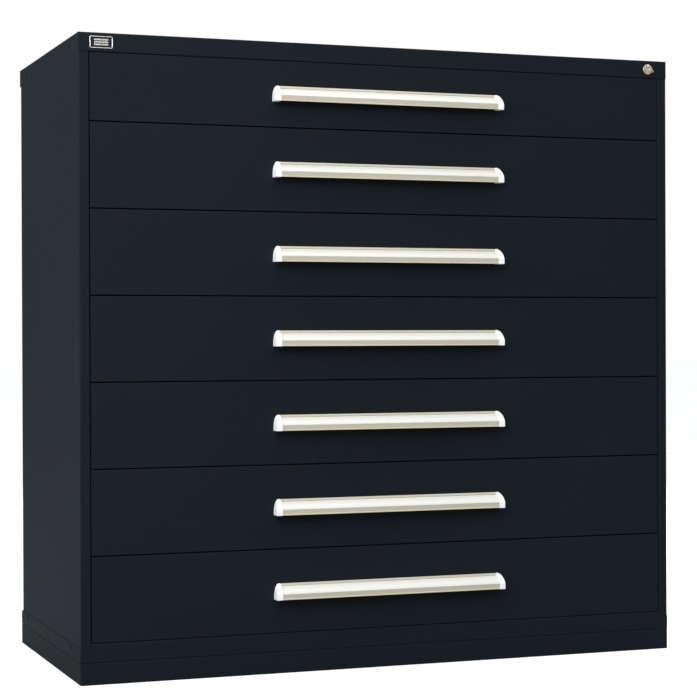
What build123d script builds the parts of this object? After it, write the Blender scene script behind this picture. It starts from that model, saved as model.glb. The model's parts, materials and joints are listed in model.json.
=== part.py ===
"""Tall chest of wide drawers: a folded steel housing, full-width drawers on roller
carriages that extend fully, label-holder handles, and one keyed lock that holds them all.

Millimetres. X runs across the front, +Y runs to the back, +Z is up. The origin is on the
floor, at the centre of the housing's footprint. Drawer 1 is the top one.
"""

import os
from math import cos, radians, sin

from build123d import *

# ---------------------------------------------------------------- driving dimensions

# Housing
width = 1524.0
depth = 704.85
base_height = 50.8
bottom_rail_height = 44.45
header_height = 44.45
stile_width = 25.4
sheet = 1.5
bend = 2.5  # outside radius of a fold
front_return = 20.0  # stile folds this far behind the front face
lip = 18.0  # header and bottom rail fold this far behind the front face
side_flange = 20.0  # folds at the back and top edges of a side panel
rear_step = 12.0  # the top cover and the pan stand this far behind the side panels
rear_lip = 42.0
pan_flange = 33.8
back_play = 0.6  # between the back panel's sides and the rear lip's tabs
base_gauge = 2.5
base_flange = 35.0
base_corner = 4.0
base_edge = 2.4  # outside radius of the base's folds along its top and bottom
pan_edge = 2.0  # outside radius of the fold between the pan's floor and its flanges
bead_width = 46.0
bead_depth = 5.0
bead_spacing = 508.0
bead_margin = 90.0

# Drawers, from the top one down
top_drawer_pitch = 158.75
drawer_pitch = 200.025
deep_drawer_count = 6
row_gap = 2.4  # between one drawer front and the next
side_gap = 2.0  # between a drawer front and the stile
front_thickness = 18.0
drawer_sheet = 1.2
front_bend = 1.6
front_fold = 14.0  # return round the open back of a drawer front
pan_side_space = 34.6  # from the stile's opening in to the pan's side
pan_back_space = 36.85
pan_floor = 6.0  # above the bottom of the drawer's space
pan_top_space = 14.0
rim_width = 9.0

# Rails, carriages and uprights
rail_setback = 30.0  # behind the front face
rail_back_space = 34.85
rail_gauge = 2.0
rail_level = 36.0  # centre of the rail above the bottom of the drawer's space
channel_depth = 16.0
roller_diameter = 26.2
roller_play = 0.8
roller_width = 9.0
roller_rim = 0.8
roller_inset = 20.0  # from a rail's end to the nearest roller
roller_spread = 30.0  # from a carriage's middle to the nearest roller
axle_diameter = 8.0
axle_play = 0.1
axle_end = 0.2
collar_diameter = 12.0
collar_length = 3.5
bar_thickness = 4.0
bar_height = 20.0
bar_end_space = 5.0
bar_clearance = 1.0
upright_width = 40.0
upright_bend = 3.0
upright_setback = 42.0  # behind the front face
slot_length = 8.4
slot_height = 5.0
slot_pitch = 25.4
slot_offset = 9.0  # from an upright's middle to its row of slots

# Handles
handle_length = 590.55
handle_height = 37.0
handle_reach = 26.0
handle_wall = 2.0
handle_top_lip = 5.0
handle_top_reach = 5.0
handle_grip = 13.0  # height of the plain face below the label
handle_back_start = 3.0  # the label's face starts this far from the drawer
handle_bulge = 3.0  # the label's face stands this far out of a straight slope
handle_back_gap = 8.0  # the back plate ends this far above the handle's bottom
grip_slope = 1.6
grip_bead = 0.4
grip_bead_height = 2.4
lip_slope = 1.2
label_recess = 1.2
label_thickness = 0.8
label_play = 0.1
cap_length = 14.5
cap_proud = 0.4
cap_corner_width = 11.0
cap_corner_height = 30.0

# Lock and key
lock_inset = 54.0  # from the side of the cabinet
rosette_diameter = 25.4
rosette_height = 2.5
rosette_edge = 0.8
barrel_diameter = 19.0
barrel_length = 19.0
barrel_play = 0.2
nut_width = 24.0
nut_height = 4.0
plug_diameter = 12.9
plug_play = 0.1
plug_proud = 0.8
keyway_width = 2.2
keyway_height = 8.6
keyway_depth = 15.0
cam_setback = 20.0
cam_thickness = 2.5
cam_radius = 8.0
cam_throw = 10.0
cam_end_radius = 5.0
cam_pin_diameter = 4.0
cam_pin_length = 6.0
cam_screw_diameter = 7.0
cam_screw_height = 1.0
rest_angle = 45.0  # the cam pin stands this far above level when unlocked
key_play = 0.1
key_shank_width = 10.0
key_shank_length = 4.0
key_bow_width = 25.0
key_bow_depth = 15.0
key_bow_corner = 6.0
key_bow_hole = 5.0

# Lock bar, its guides and the drawers' catches
bar_setback = 24.0  # behind the front face
lock_bar_thickness = 3.0
lock_bar_width = 15.7
lock_bar_side_gap = 2.5
lock_bar_foot = 35.0  # below the lowest tab
arm_height = 16.0
arm_start = 2.5  # from the lock's centre
pin_slot_play = 0.45
tab_height = 10.0
tab_gap = 4.0  # from a catch up to its tab, when unlocked
tab_overlap = 5.0
tabs_per_guide = 3
guide_play = 0.6
guide_height = 20.0
guide_drop = 30.0  # below the tab above it
catch_level = 90.0  # above the bottom of the drawer's space
catch_height = 10.0
catch_edge_gap = 3.6  # from the stile's opening
catch_thickness = 3.0
catch_gap = 3.0  # behind the lock bar
catch_foot = 30.0

# Holes and fasteners
anchor_diameter = 14.0
anchor_inset = 19.0
gang_diameter = 11.0
gang_front_space = 100.0
gang_back_space = 87.85
gang_drop = 21.0
gang_rise = 25.2
screw_diameter = 4.8
screw_play = 0.4
screw_head = 9.0
screw_head_height = 1.4
screw_shank = 5.0
back_screw_rows = 8

# Badge
badge_width = 54.0
badge_height = 27.5
badge_thickness = 1.5
badge_corner = 3.0
badge_rim = 1.4
badge_recess = 0.5

# ---------------------------------------------------------------- places worked out

front = -depth / 2
back = depth / 2
half_width = width / 2
pitches = [top_drawer_pitch] + [drawer_pitch] * deep_drawer_count
opening_bottom = base_height + bottom_rail_height
header_bottom = opening_bottom + sum(pitches)
height = header_bottom + header_height
opening_x = half_width - stile_width
panel_x = half_width - sheet  # outside of the side panels
inner_x = panel_x - sheet  # inside of the side panels
panel_back = back - rear_step
pan_floor_top = base_height + sheet
pan_rim = base_height + pan_flange
front_x = opening_x - side_gap  # end of a drawer front
pan_x = opening_x - pan_side_space  # outside of a drawer pan

channel_inner = roller_diameter + roller_play
channel_outer = channel_inner + 2 * rail_gauge
drawer_channel_tip = pan_x + channel_depth
bar_in = drawer_channel_tip + bar_clearance
bar_out = bar_in + bar_thickness
rail_tip = bar_out + bar_clearance
rail_x = rail_tip + channel_depth  # outside of a fixed rail
rail_front = front + rail_setback
rail_back = back - rail_back_space
rail_middle = (rail_front + rail_back) / 2
upright_middles = [
    front + upright_setback + upright_width / 2,
    panel_back - side_flange - upright_width / 2,
]

handle_half = handle_length / 2 - cap_length
lock_x = half_width - lock_inset
lock_z = height - header_height / 2
cam_rise = cam_throw * sin(radians(rest_angle))
cam_run = cam_throw * cos(radians(rest_angle))
lock_bar_front = front + bar_setback
lock_bar_back = lock_bar_front + lock_bar_thickness
lock_bar_out = inner_x - sheet - lock_bar_side_gap
lock_bar_in = lock_bar_out - lock_bar_width
catch_x = opening_x - catch_edge_gap
catch_front = lock_bar_back + catch_gap
screw_hole = screw_diameter + screw_play


def drawer_bottom(number):
    """Bottom of a drawer's space, counted from the top."""
    return header_bottom - sum(pitches[:number])


numbers = range(1, len(pitches) + 1)
rail_levels = [drawer_bottom(number) + rail_level for number in numbers]
tab_bottoms = [drawer_bottom(number) + catch_level + catch_height + tab_gap for number in numbers]

# ---------------------------------------------------------------- shared shapes


def block(low, high, mode=Mode.ADD):
    """A box between two opposite corners."""
    size = [b - a for a, b in zip(low, high)]
    middle = [(a + b) / 2 for a, b in zip(low, high)]
    with Locations(tuple(middle)):
        Box(*size, mode=mode)


def both_sides(low, high, mode=Mode.ADD):
    """A box on the right of the cabinet, and its mirror image on the left."""
    block(low, high, mode)
    block((-high[0], low[1], low[2]), (-low[0], high[1], high[2]), mode)


def folded(plane, points, side, gauge=sheet, radius=bend):
    """Section of a sheet folded along the points, which lie on its outside face."""
    with BuildSketch(plane, mode=Mode.PRIVATE) as section:
        with BuildLine():
            FilletPolyline(*points, radius=radius)
            offset(amount=gauge, side=side)
        make_face()
    return section.sketch


def discs(plane, middles, diameter):
    """Round faces of one size on a plane."""
    with BuildSketch(plane, mode=Mode.PRIVATE) as faces:
        with Locations(*middles):
            Circle(diameter / 2)
    return faces.sketch


def channels(web_x, tip_x, level):
    """A pair of channels, open towards their flange tips, at one level."""
    outer = channel_outer / 2
    inner = channel_inner / 2
    web_inside = web_x + rail_gauge if tip_x > web_x else web_x - rail_gauge
    walls = sorted((web_x, tip_x))
    hollow = sorted((web_inside, tip_x))
    both_sides((walls[0], rail_front, level - outer), (walls[1], rail_back, level + outer))
    both_sides(
        (hollow[0], rail_front, level - inner),
        (hollow[1], rail_back, level + inner),
        Mode.SUBTRACT,
    )


def screw(place, towards, along):
    """A button-head screw with its head standing on the place."""
    seat = Plane(origin=place, x_dir=along, z_dir=towards)
    with BuildPart(mode=Mode.PRIVATE) as one:
        extrude(discs(seat, [(0, 0)], screw_head), amount=screw_head_height)
        fillet(one.faces().sort_by(Axis(place, towards))[-1].edges(), screw_head_height / 2)
        extrude(discs(seat, [(0, 0)], screw_diameter), amount=-screw_shank)
    return one.part


def save(shape, name):
    """Labels a finished piece and writes its STEP file."""
    shape.label = name
    export_step(shape, f"parts/{name}.step")


os.makedirs("parts", exist_ok=True)

# ---------------------------------------------------------------- base and pan

gang_places = [front + gang_front_space, back - gang_back_space]
gang_low = [(y, base_height + gang_rise) for y in gang_places]
gang_high = [(y, height - gang_drop) for y in gang_places]

with BuildPart() as base_frame:
    with BuildSketch(Plane.XY):
        RectangleRounded(width, depth, base_corner)
    extrude(amount=base_height)
    flat_faces = base_frame.faces().filter_by(Axis.Z)
    fillet(flat_faces.edges(), base_edge)
    web_x = half_width - base_gauge
    web_y = back - base_gauge
    block((-web_x, -web_y, base_gauge), (web_x, web_y, base_height - base_gauge), Mode.SUBTRACT)
    ring_x = half_width - base_flange
    ring_y = back - base_flange
    block((-ring_x, -ring_y, 0), (ring_x, ring_y, base_height), Mode.SUBTRACT)
    with BuildSketch(Plane.XY):
        with GridLocations(width - 2 * anchor_inset, depth - 2 * anchor_inset, 2, 2):
            Circle(anchor_diameter / 2)
    extrude(amount=base_gauge, mode=Mode.SUBTRACT)
save(base_frame.part, "base_frame")

with BuildPart() as base_pan:
    with BuildSketch(Plane.XY.offset(base_height)):
        RectangleRounded(width, depth, bend)
    extrude(amount=pan_flange)
    fillet(base_pan.faces().sort_by(Axis.Z)[0].edges(), pan_edge)
    block((-panel_x, front + sheet, pan_floor_top), (panel_x, back - sheet, pan_rim), Mode.SUBTRACT)
    # Between the stiles the front rises to the lowest drawer and folds back.
    rail_points = [(front, pan_rim - bend), (front, opening_bottom), (front + lip, opening_bottom)]
    extrude(folded(Plane.YZ.offset(-opening_x), rail_points, Side.RIGHT), amount=2 * opening_x)
    holes = discs(Plane.YZ.offset(-half_width), gang_low, gang_diameter)
    extrude(holes, amount=width, mode=Mode.SUBTRACT)
save(base_pan.part, "base_pan")

# ---------------------------------------------------------------- top, sides and back

with BuildPart() as top_cover:
    cover_points = [
        (front + lip, header_bottom),
        (front, header_bottom),
        (front, height),
        (back, height),
        (back, height - rear_lip),
    ]
    extrude(folded(Plane.YZ.offset(-panel_x), cover_points, Side.RIGHT), amount=2 * panel_x)
    # Room for the side panels, which stand inside the front and top sheets.
    both_sides(
        (inner_x, front + sheet, header_bottom),
        (panel_x, panel_back, height - sheet),
        Mode.SUBTRACT,
    )
    # A tab closes each end of the rear lip.
    both_sides((inner_x, panel_back, height - rear_lip), (panel_x, back - sheet, height - sheet))
    hole = discs(Plane.XZ.offset(-front), [(lock_x, lock_z)], barrel_diameter + barrel_play)
    extrude(hole, amount=-sheet, mode=Mode.SUBTRACT)
save(top_cover.part, "top_cover")

back_screw_step = (height - rear_lip - pan_rim) / back_screw_rows
back_screw_x = panel_x - side_flange / 2
lowest_back_screw = pan_rim + back_screw_step / 2
right_screw_places = [
    (back_screw_x, lowest_back_screw + back_screw_step * row) for row in range(back_screw_rows)
]
back_screw_places = right_screw_places + [(-x, z) for x, z in right_screw_places]

with BuildPart() as right_side_panel:
    panel_points = [
        (opening_x, front + front_return),
        (opening_x, front),
        (panel_x, front),
        (panel_x, panel_back),
        (panel_x - side_flange, panel_back),
    ]
    section = folded(Plane.XY.offset(pan_floor_top), panel_points, Side.LEFT)
    extrude(section, amount=height - sheet - pan_floor_top)
    # The top edge folds in under the top cover.
    block(
        (panel_x - side_flange, front + front_return, height - 2 * sheet),
        (inner_x + sheet / 2, panel_back - sheet / 2, height - sheet),
    )
    # The stile stops below the header and above the pan's flange.
    for low, high in ((header_bottom, height), (base_height, pan_rim)):
        block((opening_x, front, low), (inner_x, front + front_return, high), Mode.SUBTRACT)
        block((inner_x, front, low), (panel_x, front + sheet, high), Mode.SUBTRACT)
    holes = discs(Plane.YZ.offset(inner_x), gang_high + gang_low, gang_diameter)
    extrude(holes, amount=sheet, mode=Mode.SUBTRACT)
    holes = discs(Plane.XZ.offset(-panel_back), right_screw_places, screw_hole)
    extrude(holes, amount=sheet, mode=Mode.SUBTRACT)
save(right_side_panel.part, "right_side_panel")

with BuildPart() as left_side_panel:
    mirror(right_side_panel.part, about=Plane.YZ)
save(left_side_panel.part, "left_side_panel")

bead_low = pan_rim + bead_margin
bead_high = height - rear_lip - bead_margin


def bead_faces(inset):
    """Outlines of the back panel's two pressed beads, drawn in by an inset."""
    with BuildSketch(Plane.XZ.offset(-panel_back), mode=Mode.PRIVATE) as faces:
        with Locations((0, (bead_low + bead_high) / 2)):
            with GridLocations(bead_spacing, 1, 2, 1):
                SlotOverall(bead_high - bead_low - 2 * inset, bead_width - 2 * inset, rotation=90)
    return faces.sketch


with BuildPart() as back_panel:
    back_x = inner_x - back_play
    back_points = [
        (back - bend, pan_floor_top),
        (panel_back, pan_floor_top),
        (panel_back, height - sheet),
        (back - bend, height - sheet),
    ]
    extrude(folded(Plane.YZ.offset(-back_x), back_points, Side.RIGHT), amount=2 * back_x)
    extrude(bead_faces(0), amount=-bead_depth)
    extrude(bead_faces(sheet), amount=sheet - bead_depth, mode=Mode.SUBTRACT)
    holes = discs(Plane.XZ.offset(-panel_back), back_screw_places, screw_hole)
    extrude(holes, amount=-sheet, mode=Mode.SUBTRACT)
save(back_panel.part, "back_panel")

with BuildPart() as back_panel_screws:
    for x, z in back_screw_places:
        add(screw((x, panel_back + sheet, z), (0, 1, 0), (1, 0, 0)))
save(back_panel_screws.part, "back_panel_screws")

# ---------------------------------------------------------------- uprights and fixed rails

rail_screw_places = [(y, z) for y in upright_middles for z in rail_levels]
slot_rows = int((header_bottom - opening_bottom) / slot_pitch)

with BuildPart() as right_uprights:
    for middle in upright_middles:
        upright_points = [
            (inner_x, middle - upright_width / 2),
            (rail_x, middle - upright_width / 2),
            (rail_x, middle + upright_width / 2),
            (inner_x, middle + upright_width / 2),
        ]
        section = folded(
            Plane.XY.offset(pan_floor_top), upright_points, Side.RIGHT, rail_gauge, upright_bend
        )
        extrude(section, amount=height - 2 * sheet - pan_floor_top)
        with BuildSketch(Plane.YZ.offset(rail_x)):
            with Locations((middle + slot_offset, (header_bottom + opening_bottom) / 2)):
                with GridLocations(slot_pitch, slot_pitch, 1, slot_rows):
                    Rectangle(slot_length, slot_height)
        extrude(amount=rail_gauge, mode=Mode.SUBTRACT)
    holes = discs(Plane.YZ.offset(rail_x), rail_screw_places, screw_hole)
    extrude(holes, amount=rail_gauge, mode=Mode.SUBTRACT)
save(right_uprights.part, "right_uprights")

with BuildPart() as left_uprights:
    mirror(right_uprights.part, about=Plane.YZ)
save(left_uprights.part, "left_uprights")

with BuildPart() as cabinet_rails:
    for level in rail_levels:
        channels(rail_x, rail_tip, level)
    holes = discs(Plane.YZ.offset(-rail_x), rail_screw_places, screw_hole)
    extrude(holes, amount=2 * rail_x, mode=Mode.SUBTRACT)
save(cabinet_rails.part, "cabinet_rails")

with BuildPart() as rail_screws:
    for y, z in rail_screw_places:
        add(screw((rail_x - rail_gauge, y, z), (-1, 0, 0), (0, 1, 0)))
        add(screw((rail_gauge - rail_x, y, z), (1, 0, 0), (0, 1, 0)))
save(rail_screws.part, "rail_screws")

# ---------------------------------------------------------------- roller carriages

near_rollers = [rail_front + roller_inset, rail_middle - roller_spread]
far_rollers = [rail_middle + roller_spread, rail_back - roller_inset]


def roller(start_x, y, level):
    """A bored roller that reaches from its start towards the cabinet's right side."""
    with BuildPart(mode=Mode.PRIVATE) as wheel:
        extrude(discs(Plane.YZ.offset(start_x), [(y, level)], roller_diameter), amount=roller_width)
        fillet(wheel.edges().filter_by(GeomType.CIRCLE), roller_rim)
        bore = discs(Plane.YZ.offset(start_x), [(y, level)], axle_diameter + axle_play)
        extrude(bore, amount=roller_width, mode=Mode.SUBTRACT)
    return wheel.part


def carriage(level):
    """The right carriage of one drawer: a bar, its axles, and the rollers on them."""
    low = (bar_in, rail_front + bar_end_space, level - bar_height / 2)
    high = (bar_out, rail_back - bar_end_space, level + bar_height / 2)
    axle = collar_length + roller_width + axle_end
    inward = [(y, level) for y in near_rollers]
    outward = [(y, level) for y in far_rollers]
    with BuildPart(mode=Mode.PRIVATE) as bar:
        block(low, high)
        extrude(discs(Plane.YZ.offset(bar_in), inward, collar_diameter), amount=-collar_length)
        extrude(discs(Plane.YZ.offset(bar_in), inward, axle_diameter), amount=-axle)
        extrude(discs(Plane.YZ.offset(bar_out), outward, collar_diameter), amount=collar_length)
        extrude(discs(Plane.YZ.offset(bar_out), outward, axle_diameter), amount=axle)
    inner = [roller(bar_in - collar_length - roller_width, y, level) for y in near_rollers]
    outer = [roller(bar_out + collar_length, y, level) for y in far_rollers]
    return [bar.part] + inner + outer


# ---------------------------------------------------------------- handle sections


label_floor = -handle_reach + label_recess
label_top = handle_height - handle_top_lip - label_recess
label_ends = [Vector(-handle_back_start, label_top), Vector(label_floor, handle_grip)]
label_slope = label_ends[1] - label_ends[0]
label_out = Vector(label_slope.Y, -label_slope.X).normalized()  # away from the handle


def handle_section(plane):
    """Section of the handle; y is measured from the drawer front, z from the handle's bottom."""
    inner_floor = label_floor + handle_wall
    inner_top = label_top - handle_wall
    with BuildSketch(plane, mode=Mode.PRIVATE) as section:
        with BuildLine():
            Polyline(
                label_ends[0],
                (-handle_back_start, handle_height - handle_top_lip),
                (-handle_top_reach, handle_height - handle_top_lip),
                (-handle_top_reach + lip_slope, handle_height),
                (0, handle_height),
                (0, handle_back_gap),
                (-handle_wall, handle_back_gap),
                (-handle_wall, inner_top),
                (-handle_back_start, inner_top),
            )
            SagittaArc((-handle_back_start, inner_top), (inner_floor, handle_grip), -handle_bulge)
            Polyline(
                (inner_floor, handle_grip),
                (-handle_reach + grip_slope + handle_wall, grip_bead_height),
                (-handle_reach + grip_bead + handle_wall, 0),
                (-handle_reach + grip_bead, 0),
                (-handle_reach + grip_bead, grip_bead_height),
                (-handle_reach + grip_slope, grip_bead_height + grip_bead),
                (-handle_reach, handle_grip),
                label_ends[1],
            )
            SagittaArc(*label_ends, -handle_bulge)
        make_face()
    return section.sketch


def label_section(plane):
    """Section of the label strip, which lies on the handle's bulging face."""
    inner_ends = [end + label_out * label_play for end in label_ends]
    outer_ends = [end + label_out * (label_play + label_thickness) for end in label_ends]
    with BuildSketch(plane, mode=Mode.PRIVATE) as section:
        with BuildLine():
            SagittaArc(*inner_ends, -handle_bulge)
            SagittaArc(*outer_ends, -handle_bulge)
            Line(inner_ends[0], outer_ends[0])
            Line(inner_ends[1], outer_ends[1])
        make_face()
    return section.sketch


def cap_section(plane):
    """Section of an end cap, which stands a little proud of the handle."""
    top = (-handle_top_reach, handle_height + cap_proud)
    nose = (-handle_reach - cap_proud, handle_grip)
    with BuildSketch(plane, mode=Mode.PRIVATE) as section:
        with BuildLine():
            SagittaArc(top, nose, -handle_bulge)
            Polyline(nose, (-handle_reach - cap_proud, -cap_proud), (0, -cap_proud))
            Polyline((0, -cap_proud), (0, handle_height + cap_proud), top)
        make_face()
    return section.sketch


def end_cap(bottom):
    """The right end cap of a handle whose bottom is at this height."""
    with BuildPart(mode=Mode.PRIVATE) as cap:
        section_plane = Plane(origin=(handle_half, front, bottom), x_dir=(0, 1, 0), z_dir=(1, 0, 0))
        extrude(cap_section(section_plane), amount=cap_length)
        outer = handle_half + cap_length
        top = bottom + handle_height + cap_proud
        with BuildSketch(Plane.XZ.offset(-front)):
            with BuildLine():
                corner = EllipticalCenterArc(
                    (outer - cap_corner_width, top - cap_corner_height),
                    cap_corner_width,
                    cap_corner_height,
                    start_angle=0,
                    arc_size=90,
                )
                Polyline(corner @ 1, (handle_half, top), (handle_half, bottom - cap_proud))
                Polyline((handle_half, bottom - cap_proud), (outer, bottom - cap_proud), corner @ 0)
            make_face()
        extrude(amount=handle_reach + cap_proud, mode=Mode.INTERSECT)
    return cap.part


# ---------------------------------------------------------------- drawers

for number in numbers:
    low = drawer_bottom(number)
    high = low + pitches[number - 1]
    front_low = low + row_gap / 2
    front_high = high - row_gap / 2
    pan_front = front + front_thickness
    pan_back = back - pan_back_space
    pan_low = low + pan_floor
    pan_high = high - pan_top_space
    handle_bottom = (low + high - handle_height) / 2

    with BuildPart() as drawer_front:
        block((-front_x, front, front_low), (front_x, pan_front, front_high))
        fillet(drawer_front.faces().sort_by(Axis.Y)[0].edges(), front_bend)
        block(
            (-front_x + drawer_sheet, front + drawer_sheet, front_low + drawer_sheet),
            (front_x - drawer_sheet, pan_front - drawer_sheet, front_high - drawer_sheet),
            Mode.SUBTRACT,
        )
        block(
            (-front_x + front_fold, pan_front - drawer_sheet, front_low + front_fold),
            (front_x - front_fold, pan_front, front_high - front_fold),
            Mode.SUBTRACT,
        )
    save(drawer_front.part, f"drawer_{number}_front")

    with BuildPart() as drawer_pan:
        block((-pan_x, pan_front, pan_low), (pan_x, pan_back, pan_high))
        block(
            (-pan_x + drawer_sheet, pan_front + drawer_sheet, pan_low + drawer_sheet),
            (pan_x - drawer_sheet, pan_back - drawer_sheet, pan_high),
            Mode.SUBTRACT,
        )
        # The top edges of the side walls fold outwards into a rim.
        both_sides(
            (pan_x, pan_front + front_fold, pan_high - drawer_sheet),
            (pan_x + rim_width, pan_back, pan_high),
        )
        # A channel on each side runs on the carriage's inner rollers.
        channels(pan_x, drawer_channel_tip, low + rail_level)

    # The lock bar's tab drops in front of this angle, which is welded to the pan's side.
    catch_low = low + catch_level
    catch_top = catch_low + catch_height
    with BuildPart() as catch:
        catch_back = catch_front + catch_thickness
        block((pan_x, catch_front, catch_low), (catch_x, catch_back, catch_top))
        foot_back = catch_front + catch_foot
        block((pan_x, catch_front, catch_low), (pan_x + catch_thickness, foot_back, catch_top))
    save(Compound(children=[drawer_pan.part, catch.part]), f"drawer_{number}_pan")

    side_plane = Plane(origin=(-handle_half, front, handle_bottom), x_dir=(0, 1, 0), z_dir=(1, 0, 0))
    with BuildPart() as drawer_handle:
        extrude(handle_section(side_plane), amount=2 * handle_half)
    save(drawer_handle.part, f"drawer_{number}_handle")

    with BuildPart() as drawer_label:
        extrude(label_section(side_plane), amount=2 * handle_half)
    save(drawer_label.part, f"drawer_{number}_label")

    with BuildPart() as handle_caps:
        cap = end_cap(handle_bottom)
        add(cap)
        mirror(cap, about=Plane.YZ)
    save(handle_caps.part, f"drawer_{number}_handle_caps")

    right_carriage = carriage(low + rail_level)
    left_carriage = [piece.mirror(Plane.YZ) for piece in right_carriage]
    save(Compound(children=right_carriage + left_carriage), f"drawer_{number}_carriages")

# ---------------------------------------------------------------- lock, key and lock bar

lock_plane = Plane(origin=(lock_x, front, lock_z), x_dir=(1, 0, 0), z_dir=(0, -1, 0))
key_direction = (cos(radians(rest_angle)), 0, -sin(radians(rest_angle)))
key_plane = Plane(origin=(lock_x, front, lock_z), x_dir=key_direction, z_dir=(0, -1, 0))

with BuildPart() as lock_barrel:
    extrude(discs(lock_plane, [(0, 0)], rosette_diameter), amount=rosette_height)
    rim = lock_barrel.faces().sort_by(Axis.Y)[0].edges()
    fillet(rim, rosette_edge)
    extrude(discs(lock_plane, [(0, 0)], barrel_diameter), amount=-barrel_length)
    with BuildSketch(lock_plane.offset(-sheet)):
        RegularPolygon(nut_width / 2, 6, major_radius=False)
    extrude(amount=-nut_height)
    bore = discs(lock_plane.offset(rosette_height), [(0, 0)], plug_diameter + plug_play)
    extrude(bore, amount=-rosette_height - barrel_length, mode=Mode.SUBTRACT)
save(lock_barrel.part, "lock_barrel")

plug_face = rosette_height + plug_proud

with BuildPart() as lock_plug:
    extrude(discs(lock_plane.offset(plug_face), [(0, 0)], plug_diameter), amount=-plug_face - cam_setback)
    with BuildSketch(key_plane.offset(plug_face)):
        Rectangle(keyway_height, keyway_width)
    extrude(amount=-keyway_depth, mode=Mode.SUBTRACT)
save(lock_plug.part, "lock_plug")

with BuildPart() as lock_cam:
    with BuildSketch(lock_plane.offset(-cam_setback)):
        Circle(cam_radius)
        with Locations((cam_run, cam_rise)):
            Circle(cam_end_radius)
        make_hull()
    extrude(amount=-cam_thickness)
    cam_back = lock_plane.offset(-cam_setback - cam_thickness)
    extrude(discs(cam_back, [(cam_run, cam_rise)], cam_pin_diameter), amount=-cam_pin_length)
    extrude(discs(cam_back, [(0, 0)], cam_screw_diameter), amount=-cam_screw_height)
save(lock_cam.part, "lock_cam")

with BuildPart() as key:
    with BuildSketch(key_plane.offset(plug_face)):
        Rectangle(keyway_height - 2 * key_play, keyway_width - 2 * key_play)
    extrude(amount=-keyway_depth + key_play)
    thickness = keyway_width - 2 * key_play
    with BuildSketch(key_plane.offset(plug_face)):
        Rectangle(key_shank_width, thickness)
    extrude(amount=key_shank_length)
    flat = Plane(origin=key_plane.origin, x_dir=key_direction, z_dir=key_plane.y_dir)
    bow_middle = -plug_face - key_shank_length - key_bow_depth / 2 + key_bow_corner / 2
    with BuildSketch(flat):
        with Locations((0, bow_middle)):
            RectangleRounded(key_bow_width, key_bow_depth, key_bow_corner)
            Circle(key_bow_hole / 2, mode=Mode.SUBTRACT)
    extrude(amount=thickness / 2, both=True)
save(key.part, "key")

with BuildPart() as lock_strip:
    strip_low = tab_bottoms[-1] - lock_bar_foot
    arm_middle = lock_z + cam_rise
    arm_low = arm_middle - arm_height / 2
    arm_high = arm_middle + arm_height / 2
    block((lock_bar_in, lock_bar_front, strip_low), (lock_bar_out, lock_bar_back, arm_high))
    block((lock_x + arm_start, lock_bar_front, arm_low), (lock_bar_out, lock_bar_back, arm_high))
    pin_room = cam_pin_diameter / 2 + pin_slot_play
    with BuildSketch(Plane.XZ.offset(-lock_bar_front)):
        with Locations((lock_x + (cam_run + cam_throw) / 2, arm_middle)):
            Rectangle(cam_throw - cam_run + 2 * pin_room, 2 * pin_room)
    extrude(amount=-lock_bar_thickness, mode=Mode.SUBTRACT)

# One tab for each drawer is welded to the edge of the strip.
tabs = []
for low in tab_bottoms:
    with BuildPart() as tab:
        inner_end = (catch_x - tab_overlap, lock_bar_front, low)
        block(inner_end, (lock_bar_in, lock_bar_back, low + tab_height))
    tabs.append(tab.part)
save(Compound(children=[lock_strip.part] + tabs), "lock_bar")

with BuildPart() as lock_bar_guides:
    leg_back = lock_bar_back + guide_play + sheet
    leg_front = lock_bar_front - guide_play - sheet
    hook_x = lock_bar_in - guide_play - sheet
    guide_points = [
        (lock_bar_in + sheet, leg_back),
        (inner_x, leg_back),
        (inner_x, leg_front),
        (hook_x, leg_front),
        (hook_x, lock_bar_back),
    ]
    for low in tab_bottoms[::tabs_per_guide]:
        start = Plane.XY.offset(low - guide_drop - guide_height)
        extrude(folded(start, guide_points, Side.LEFT), amount=guide_height)
save(lock_bar_guides.part, "lock_bar_guides")

# ---------------------------------------------------------------- badge

with BuildPart() as badge:
    badge_x = -front_x + badge_width / 2
    face = Plane.XZ.offset(-front)
    with BuildSketch(face):
        with Locations((badge_x, lock_z)):
            RectangleRounded(badge_width, badge_height, badge_corner)
    extrude(amount=badge_thickness)
    with BuildSketch(face.offset(badge_thickness)):
        with Locations((badge_x, lock_z)):
            RectangleRounded(
                badge_width - 2 * badge_rim,
                badge_height - 2 * badge_rim,
                badge_corner - badge_rim,
            )
    extrude(amount=-badge_recess, mode=Mode.SUBTRACT)
save(badge.part, "badge")
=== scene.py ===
"""Looks of the wide drawer cabinet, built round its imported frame. Metres, +Z up."""

import json
import math

import bmesh
import bpy
from mathutils import Matrix, Vector


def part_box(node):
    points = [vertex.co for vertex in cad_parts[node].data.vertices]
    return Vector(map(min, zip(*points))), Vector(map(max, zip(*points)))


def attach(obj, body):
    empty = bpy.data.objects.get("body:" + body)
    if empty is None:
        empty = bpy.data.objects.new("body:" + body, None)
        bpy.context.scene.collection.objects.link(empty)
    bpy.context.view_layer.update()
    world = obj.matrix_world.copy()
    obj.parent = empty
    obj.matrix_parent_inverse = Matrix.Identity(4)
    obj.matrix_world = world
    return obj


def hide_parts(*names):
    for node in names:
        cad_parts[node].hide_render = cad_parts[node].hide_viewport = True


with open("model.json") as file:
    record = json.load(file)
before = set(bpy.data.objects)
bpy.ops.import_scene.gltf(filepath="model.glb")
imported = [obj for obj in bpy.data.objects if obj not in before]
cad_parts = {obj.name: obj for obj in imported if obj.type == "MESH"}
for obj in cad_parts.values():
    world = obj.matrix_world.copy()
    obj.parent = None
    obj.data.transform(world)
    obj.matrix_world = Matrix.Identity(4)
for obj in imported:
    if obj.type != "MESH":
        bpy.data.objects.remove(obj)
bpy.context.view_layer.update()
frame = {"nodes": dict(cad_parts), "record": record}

scene = bpy.context.scene
nodes = frame["nodes"]
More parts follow.
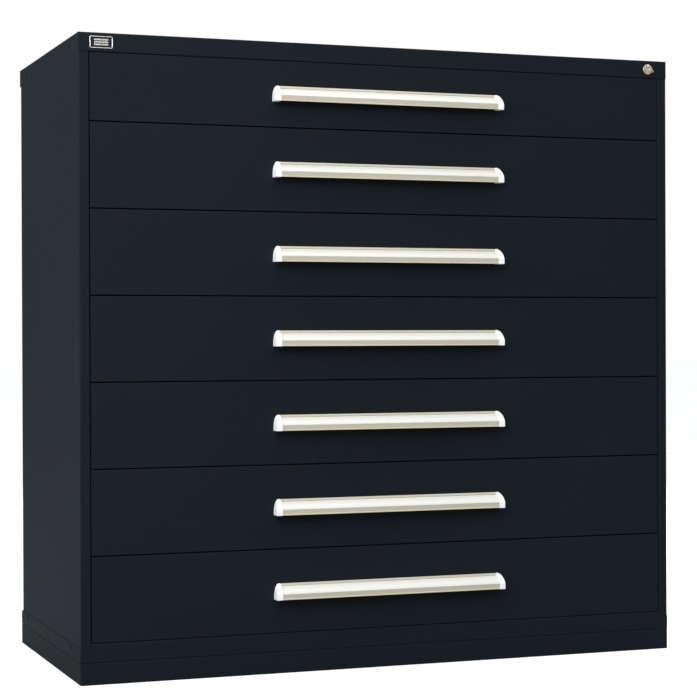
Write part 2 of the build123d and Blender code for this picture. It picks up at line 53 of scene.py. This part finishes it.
DRAWERS = range(1, 8)

# ---------------------------------------------------------------- camera

CAMERA_PLACE = (-1.7424, -4.7881, 0.7908)
CAMERA_YAW = 20.26
CAMERA_PITCH = 0.29
CAMERA_ROLL = 0.20
CAMERA_LENS = 101.2
SENSOR = 36.0
CLIP_NEAR = 0.05
CLIP_FAR = 100.0


def add_camera():
    """The camera that looks along the photographed view."""
    data = bpy.data.cameras.new("camera")
    data.lens = CAMERA_LENS
    data.sensor_width = SENSOR
    data.clip_start = CLIP_NEAR
    data.clip_end = CLIP_FAR
    camera = bpy.data.objects.new("camera", data)
    scene.collection.objects.link(camera)
    yaw = math.radians(CAMERA_YAW)
    pitch = math.radians(CAMERA_PITCH)
    forward = Vector(
        (math.sin(yaw) * math.cos(pitch), math.cos(yaw) * math.cos(pitch), -math.sin(pitch))
    )
    turn = forward.to_track_quat("-Z", "Y").to_matrix()
    roll = Matrix.Rotation(math.radians(CAMERA_ROLL), 3, forward)
    camera.matrix_world = Matrix.Translation(CAMERA_PLACE) @ (roll @ turn).to_4x4()
    scene.camera = camera


# ---------------------------------------------------------------- floor, world and lights

WHITE = (1, 1, 1, 1)
FLOOR_REACH = 60.0
FLOOR_CORNERS = ((-1, -1), (1, -1), (1, 1), (-1, 1))
FLOOR_GLOW = 0.25
FLOOR_BOUNCE = (0.29, 0.305, 0.32, 1)
SKY_TINT = (0.84, 0.94, 1.0, 1)
SKY_SEEN = 1.0
SKY_LIGHT = 0.35

SUN_PLACE = (-0.5, -0.9, 6.0)
SUN_TARGET = (0, 0, 0)
SUN_STRENGTH = 2.0
SUN_SPREAD = math.radians(60)

# name: place, target, watts, diameter
DISK_LAMPS = {
    "key": ((-2.2, -3.4, 3.0), (-0.4, 0.0, 1.1), 105, 2.4),
    "left": ((-4.6, -1.6, 2.2), (-0.4, 0.0, 1.3), 88, 2.0),
    "back": ((1.4, 4.4, 2.8), (0.0, 0.2, 0.8), 200, 3.0),
    "right": ((4.8, -0.2, 2.4), (0.4, 0.0, 0.8), 105, 2.4),
}


def add_floor():
    """A plain floor under the cabinet, which rides on no body."""
    mesh = bpy.data.meshes.new("floor")
    corners = [(x * FLOOR_REACH, y * FLOOR_REACH, 0) for x, y in FLOOR_CORNERS]
    mesh.from_pydata(corners, [], [(0, 1, 2, 3)])
    floor = bpy.data.objects.new("floor", mesh)
    scene.collection.objects.link(floor)
    mesh.materials.append(floor_paint())


def add_world():
    """A white backdrop whose light on the object is dimmer and slightly cool."""
    world = bpy.data.worlds.new("studio")
    scene.world = world
    world.use_nodes = True
    tree = world.node_tree
    tree.nodes.clear()
    output = tree.nodes.new("ShaderNodeOutputWorld")
    mix = tree.nodes.new("ShaderNodeMixShader")
    path = tree.nodes.new("ShaderNodeLightPath")
    seen = tree.nodes.new("ShaderNodeBackground")
    light = tree.nodes.new("ShaderNodeBackground")
    seen.inputs["Color"].default_value = WHITE
    seen.inputs["Strength"].default_value = SKY_SEEN
    light.inputs["Color"].default_value = SKY_TINT
    light.inputs["Strength"].default_value = SKY_LIGHT
    tree.links.new(path.outputs["Is Camera Ray"], mix.inputs[0])
    tree.links.new(light.outputs[0], mix.inputs[1])
    tree.links.new(seen.outputs[0], mix.inputs[2])
    tree.links.new(mix.outputs[0], output.inputs["Surface"])


def add_lamp(kind, name, place, target, energy, **facts):
    """A lamp at a place, aimed at a point."""
    data = bpy.data.lights.new(name, kind)
    data.energy = energy
    for fact, value in facts.items():
        setattr(data, fact, value)
    lamp = bpy.data.objects.new(name, data)
    scene.collection.objects.link(lamp)
    aim = (Vector(target) - Vector(place)).to_track_quat("-Z", "Y")
    lamp.matrix_world = Matrix.Translation(place) @ aim.to_matrix().to_4x4()


def add_lights():
    """A broad overhead light, a soft key from the upper left front, and fills all round."""
    add_lamp("SUN", "overhead", SUN_PLACE, SUN_TARGET, SUN_STRENGTH, angle=SUN_SPREAD)
    for name, (place, target, watts, diameter) in DISK_LAMPS.items():
        add_lamp("AREA", name, place, target, watts, shape="DISK", size=diameter)


# ---------------------------------------------------------------- material helpers


class Paint:
    """A principled material with short calls for its texture nodes."""

    def __init__(self, name, colour, roughness, metallic=0.0, **sockets):
        self.material = bpy.data.materials.new(name)
        self.material.use_nodes = True
        self.tree = self.material.node_tree
        self.shader = self.tree.nodes["Principled BSDF"]
        self.set("Base Color", (*colour, 1))
        self.set("Roughness", roughness)
        self.set("Metallic", metallic)
        for socket, value in sockets.items():
            self.set(socket.replace("_", " "), value)
        self.place = self.tree.nodes.new("ShaderNodeTexCoord").outputs["Object"]

    def set(self, socket, value):
        self.shader.inputs[socket].default_value = value

    def link(self, source, target):
        self.tree.links.new(source, target)

    def stretched(self, scale):
        """Object coordinates multiplied by a scale for each axis."""
        mapping = self.tree.nodes.new("ShaderNodeMapping")
        mapping.inputs["Scale"].default_value = scale
        self.link(self.place, mapping.inputs["Vector"])
        return mapping.outputs["Vector"]

    def noise(self, scale, detail=3.0, rough=0.55, stretch=(1, 1, 1)):
        """Noise whose scale is in cells for each metre."""
        node = self.tree.nodes.new("ShaderNodeTexNoise")
        node.inputs["Scale"].default_value = scale
        node.inputs["Detail"].default_value = detail
        node.inputs["Roughness"].default_value = rough
        self.link(self.stretched(stretch), node.inputs["Vector"])
        return node.outputs["Fac"]

    def cells(self, scale):
        """Cell noise, such as the spangle of zinc."""
        node = self.tree.nodes.new("ShaderNodeTexVoronoi")
        node.inputs["Scale"].default_value = scale
        self.link(self.place, node.inputs["Vector"])
        return node.outputs["Color"]

    def ramp(self, factor, stops):
        """Colours or greys spread over a factor."""
        node = self.tree.nodes.new("ShaderNodeValToRGB")
        ramp = node.color_ramp
        while len(ramp.elements) < len(stops):
            ramp.elements.new(0.5)
        for element, (position, colour) in zip(ramp.elements, stops):
            element.position = position
            element.color = (*colour, 1) if isinstance(colour, tuple) else (colour,) * 3 + (1,)
        self.link(factor, node.inputs["Fac"])
        return node.outputs["Color"]

    def blend(self, mode, share, first, second):
        """Two colours mixed by a blend mode."""
        node = self.tree.nodes.new("ShaderNodeMix")
        node.data_type = "RGBA"
        node.blend_type = mode
        node.inputs["Factor"].default_value = share
        self.link(first, node.inputs["A"])
        self.link(second, node.inputs["B"])
        return node.outputs["Result"]

    def colour_from(self, source):
        self.link(source, self.shader.inputs["Base Color"])

    def roughness_from(self, source):
        self.link(source, self.shader.inputs["Roughness"])

    def bump(self, height, strength, distance):
        """Raises the surface by a height; calls add up."""
        node = self.tree.nodes.new("ShaderNodeBump")
        node.inputs["Strength"].default_value = strength
        node.inputs["Distance"].default_value = distance
        self.link(height, node.inputs["Height"])
        before = self.shader.inputs["Normal"]
        if before.is_linked:
            self.link(before.links[0].from_socket, node.inputs["Normal"])
        self.link(node.outputs["Normal"], before)


def floor_paint():
    """Pale studio floor with a faint glow, which throws back less light than it shows."""
    paint = Paint("floor_paint", (0.8, 0.8, 0.8), roughness=0.7, Specular_IOR_Level=0.0)
    paint.colour_from(paint.ramp(paint.noise(1.2), [(0.3, 0.79), (0.7, 0.81)]))
    paint.set("Emission Color", WHITE)
    paint.set("Emission Strength", FLOOR_GLOW)
    shaders = paint.tree.nodes
    path = shaders.new("ShaderNodeLightPath")
    dull = shaders.new("ShaderNodeBsdfDiffuse")
    dull.inputs["Color"].default_value = FLOOR_BOUNCE
    mix = shaders.new("ShaderNodeMixShader")
    paint.link(path.outputs["Is Camera Ray"], mix.inputs[0])
    paint.link(dull.outputs[0], mix.inputs[1])
    paint.link(paint.shader.outputs[0], mix.inputs[2])
    paint.link(mix.outputs[0], shaders["Material Output"].inputs["Surface"])
    return paint.material


def powder_coat():
    """Charcoal powder coat: fine orange peel, faint cloudiness and a dull sheen."""
    paint = Paint(
        "powder_coat", (0.0070, 0.0108, 0.0145), roughness=0.6, Specular_IOR_Level=0.13
    )
    clouds = paint.ramp(
        paint.noise(1.6, detail=2.0),
        [(0.3, (0.0062, 0.0099, 0.0134)), (0.7, (0.0078, 0.0118, 0.0156))],
    )
    grain = paint.ramp(paint.noise(1100, detail=2.0), [(0.35, 0.82), (0.65, 1.0)])
    paint.colour_from(paint.blend("MULTIPLY", 1.0, clouds, grain))
    paint.roughness_from(paint.ramp(paint.noise(420), [(0.3, 0.54), (0.7, 0.66)]))
    paint.bump(paint.noise(520, detail=2.0), strength=0.22, distance=0.0004)
    paint.bump(paint.noise(9, detail=1.0), strength=0.05, distance=0.002)
    return paint.material


def pan_coat():
    """Light grey paint of the drawer pans, with fine scuffs along the drawer."""
    paint = Paint("pan_coat", (0.32, 0.335, 0.35), roughness=0.45)
    tone = paint.ramp(paint.noise(2.2), [(0.3, (0.29, 0.305, 0.32)), (0.7, (0.335, 0.35, 0.365))])
    scuffs = paint.ramp(
        paint.noise(60, detail=4.0, rough=0.7, stretch=(6, 0.3, 6)), [(0.55, 1.0), (0.72, 0.9)]
    )
    paint.colour_from(paint.blend("MULTIPLY", 1.0, tone, scuffs))
    paint.roughness_from(paint.ramp(paint.noise(35, detail=4.0), [(0.3, 0.38), (0.7, 0.56)]))
    paint.bump(paint.noise(480, detail=2.0), strength=0.18, distance=0.0003)
    return paint.material


def zinc():
    """Bright zinc-plated steel with rolling lines and a faint spangle."""
    paint = Paint("zinc", (0.60, 0.61, 0.62), roughness=0.34, metallic=1.0)
    lines = paint.ramp(
        paint.noise(300, rough=0.6, stretch=(1, 0.02, 1)),
        [(0.35, (0.5, 0.51, 0.52)), (0.65, (0.66, 0.67, 0.67))],
    )
    spangle = paint.ramp(paint.cells(160), [(0.0, 0.88), (1.0, 1.0)])
    paint.colour_from(paint.blend("MULTIPLY", 1.0, lines, spangle))
    paint.roughness_from(paint.ramp(paint.noise(140, detail=4.0), [(0.3, 0.26), (0.7, 0.44)]))
    paint.bump(paint.noise(900, detail=2.0), strength=0.08, distance=0.0002)
    return paint.material


def satin_aluminium():
    """Extruded aluminium, satin anodised a pale champagne, with die lines along its length."""
    paint = Paint("satin_aluminium", (0.69, 0.625, 0.48), roughness=0.46, metallic=0.25)
    lines = paint.noise(1400, detail=4.0, rough=0.6, stretch=(0.002, 1, 1))
    paint.colour_from(paint.ramp(lines, [(0.3, (0.63, 0.57, 0.435)), (0.7, (0.745, 0.68, 0.53))]))
    paint.roughness_from(paint.ramp(lines, [(0.3, 0.38), (0.7, 0.54)]))
    paint.bump(lines, strength=0.12, distance=0.00015)
    return paint.material


def label_card():
    """Warm white card under clear film: paper fibres below, a gloss coat above."""
    paint = Paint(
        "label_card", (0.72, 0.715, 0.665), roughness=0.42, Coat_Weight=0.3, Coat_Roughness=0.2
    )
    fibres = paint.noise(650, detail=5.0, rough=0.7)
    paint.colour_from(
        paint.ramp(fibres, [(0.3, (0.70, 0.695, 0.645)), (0.7, (0.745, 0.74, 0.69))])
    )
    paint.bump(paint.noise(1800), strength=0.06, distance=0.0001)
    return paint.material


def white_plastic():
    """Moulded white plastic with a fine spark-eroded grain."""
    paint = Paint(
        "white_plastic",
        (0.96, 0.96, 0.95),
        roughness=0.32,
        Subsurface_Weight=0.08,
        Subsurface_Scale=0.002,
    )
    paint.colour_from(
        paint.ramp(paint.noise(45), [(0.3, (0.94, 0.94, 0.93)), (0.7, (0.98, 0.98, 0.97))])
    )
    paint.roughness_from(paint.ramp(paint.noise(900, detail=2.0), [(0.3, 0.26), (0.7, 0.40)]))
    paint.bump(paint.noise(1500, detail=2.0), strength=0.10, distance=0.0001)
    return paint.material


def polished(name, tint, dark, roughness, metallic=1.0):
    """Plated metal with fine turning marks and slight tarnish."""
    paint = Paint(name, tint, roughness, metallic)
    paint.colour_from(paint.ramp(paint.noise(230, detail=4.0), [(0.35, dark), (0.6, tint)]))
    paint.roughness_from(
        paint.ramp(paint.noise(700), [(0.3, roughness * 0.7), (0.7, roughness * 1.4)])
    )
    paint.bump(paint.noise(2600, detail=2.0), strength=0.06, distance=0.0001)
    return paint.material


def enamel():
    """Black badge enamel with a clear, slightly wavy surface."""
    paint = Paint(
        "enamel", (0.006, 0.006, 0.008), roughness=0.16, Coat_Weight=0.6, Coat_Roughness=0.08
    )
    paint.colour_from(
        paint.ramp(
            paint.noise(500), [(0.3, (0.004, 0.004, 0.006)), (0.7, (0.010, 0.010, 0.013))]
        )
    )
    paint.bump(paint.noise(240, detail=2.0), strength=0.08, distance=0.0002)
    return paint.material


COAT = powder_coat()
PAN = pan_coat()
ZINC = zinc()
ALUMINIUM = satin_aluminium()
CARD = label_card()
PLASTIC = white_plastic()
BRASS = polished(
    "lock_brass", (0.95, 0.80, 0.60), (0.62, 0.45, 0.28), roughness=0.3, metallic=0.75
)
NICKEL = polished(
    "key_nickel", (0.95, 0.93, 0.89), (0.78, 0.75, 0.70), roughness=0.3, metallic=0.75
)
BRIGHT = polished("badge_silver", (0.90, 0.90, 0.90), (0.74, 0.74, 0.75), roughness=0.42)
GOLD = polished("badge_gold", (0.90, 0.62, 0.14), (0.74, 0.47, 0.08), roughness=0.34)
ENAMEL = enamel()

BY_SLOT = {
    "powder_coat": COAT,
    "drawer_coat": PAN,
    "zinc_steel": ZINC,
    "satin_aluminium": ALUMINIUM,
    "label_card": CARD,
    "white_plastic": PLASTIC,
    "badge_enamel": ENAMEL,
    "lock_brass": BRASS,
    "key_nickel": NICKEL,
}

# ---------------------------------------------------------------- edges and finishes

WELD_GAP = 1e-6
FLAT_ANGLE = math.radians(0.3)
SHARP_ANGLE = math.radians(40)
EDGE_SEGMENTS = 2
FACE_WEIGHT = 80

SHEET_EDGE = 0.0006
PAN_EDGE = 0.0004
MOULDED_EDGE = 0.0004
EXTRUDED_EDGE = 0.0003
SOFT_EDGES = dict.fromkeys(
    ["base_frame", "base_pan", "top_cover", "left_side_panel", "right_side_panel"], SHEET_EDGE
)
for number in DRAWERS:
    SOFT_EDGES[f"drawer_{number}_front"] = SHEET_EDGE
    SOFT_EDGES[f"drawer_{number}_pan"] = PAN_EDGE
    SOFT_EDGES[f"drawer_{number}_handle"] = EXTRUDED_EDGE
    SOFT_EDGES[f"drawer_{number}_handle_caps"] = MOULDED_EDGE


def soften(node, radius):
    """Breaks a node's sharp edges, as paint and deburring do."""
    weld = node.modifiers.new("weld", "WELD")
    weld.merge_threshold = WELD_GAP
    flats = node.modifiers.new("flats", "DECIMATE")
    flats.decimate_type = "DISSOLVE"
    flats.angle_limit = FLAT_ANGLE
    edges = node.modifiers.new("edges", "BEVEL")
    edges.width = radius
    edges.segments = EDGE_SEGMENTS
    edges.limit_method = "ANGLE"
    edges.angle_limit = SHARP_ANGLE
    edges.use_clamp_overlap = True
    normals = node.modifiers.new("normals", "WEIGHTED_NORMAL")
    normals.keep_sharp = False
    normals.weight = FACE_WEIGHT


def paint_nodes():
    """Gives each CAD node the finish of its material slot."""
    for entry in frame["record"]["subparts"]:
        node = nodes[entry["node"]]
        node.data.materials.clear()
        node.data.materials.append(BY_SLOT[entry["material_slot"]])


# ---------------------------------------------------------------- badge

# Sections are (inset, rise) pairs in millimetres, from the plate's outer edge inwards.
MM = 0.001
CORNER_STEPS = 8
LEAST_CORNER = 0.2
RIM_SECTION = [(0, 0), (0, 0.9), (0.25, 1.3), (0.8, 1.5), (1.35, 1.35), (1.7, 0.9), (1.7, 0)]
FIELD_SECTION = [(1.6, 0.1), (1.6, 0.7), (2.2, 0.85)]
BAR_SECTION = [(0, 0.8), (0, 1.05), (0.35, 1.2)]
BAR_LENGTH = 33.0
BAR_HEIGHT = 3.6
BAR_CORNER = 0.8
BAR_PITCH = 5.6
BADGE_CORNER = 3.0
KNOB_SIZE = 4.6
KNOB_SECTION = [(0, 1.0), (0, 1.3), (0.5, 1.45)]


def rounded_outline(width, height, corner):
    """Points of a rounded rectangle about the origin, anticlockwise."""
    points = []
    for quarter, (side_x, side_z) in enumerate(((1, 1), (-1, 1), (-1, -1), (1, -1))):
        for step in range(CORNER_STEPS + 1):
            angle = math.radians(90 * (quarter + step / CORNER_STEPS))
            x = side_x * (width / 2 - corner) + corner * math.cos(angle)
            z = side_z * (height / 2 - corner) + corner * math.sin(angle)
            points.append((x, z))
    return points


def plaque(name, middle, size, corner, section, material, ring=False):
    """A raised plate on the header: outlines drawn in and lifted by each step of a section."""
    mesh = bpy.data.meshes.new(name)
    shape = bmesh.new()
    loops = []
    for inset, rise in section:
        width, height = size[0] - 2 * inset, size[1] - 2 * inset
        outline = rounded_outline(width, height, max(corner - inset, LEAST_CORNER))
        loops.append(
            [
                shape.verts.new((middle[0] + x * MM, middle[1] - rise * MM, middle[2] + z * MM))
                for x, z in outline
            ]
        )
    pairs = list(zip(loops, loops[1:]))
    if ring:
        pairs.append((loops[-1], loops[0]))
    else:
        shape.faces.new(loops[0][::-1])
        shape.faces.new(loops[-1])
    for low_loop, high_loop in pairs:
        for index in range(len(low_loop)):
            after = (index + 1) % len(low_loop)
            corners = (low_loop[index], low_loop[after], high_loop[after], high_loop[index])
            shape.faces.new(corners)
    bmesh.ops.recalc_face_normals(shape, faces=shape.faces)
    shape.to_mesh(mesh)
    shape.free()
    for face in mesh.polygons:
        face.use_smooth = len(face.vertices) == 4
    piece = bpy.data.objects.new(name, mesh)
    scene.collection.objects.link(piece)
    mesh.materials.append(material)
    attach(piece, "housing")
    return piece


def add_badge():
    """A bright rim round black enamel, with three plain bars and a gold knob on each."""
    low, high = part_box("badge")
    middle = ((low[0] + high[0]) / 2, high[1], (low[2] + high[2]) / 2)
    size = ((high[0] - low[0]) / MM, (high[2] - low[2]) / MM)
    rim = plaque("badge_rim", middle, size, BADGE_CORNER, RIM_SECTION, NICKEL, True)
    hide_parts("badge")
    plaque("badge_field", middle, size, BADGE_CORNER, FIELD_SECTION, ENAMEL)
    bar = (BAR_LENGTH, BAR_HEIGHT)
    knob = (KNOB_SIZE, KNOB_SIZE)
    for row, level in enumerate((BAR_PITCH, 0, -BAR_PITCH), start=1):
        place = (middle[0], middle[1], middle[2] + level * MM)
        plaque(f"badge_bar_{row}", place, bar, BAR_CORNER, BAR_SECTION, BRIGHT)
        plaque(f"badge_knob_{row}", place, knob, KNOB_SIZE / 2, KNOB_SECTION, GOLD)


paint_nodes()
add_badge()
for name, radius in SOFT_EDGES.items():
    soften(nodes[name], radius)
add_floor()
add_world()
add_lights()
add_camera()
scene.view_settings.view_transform = "Standard"
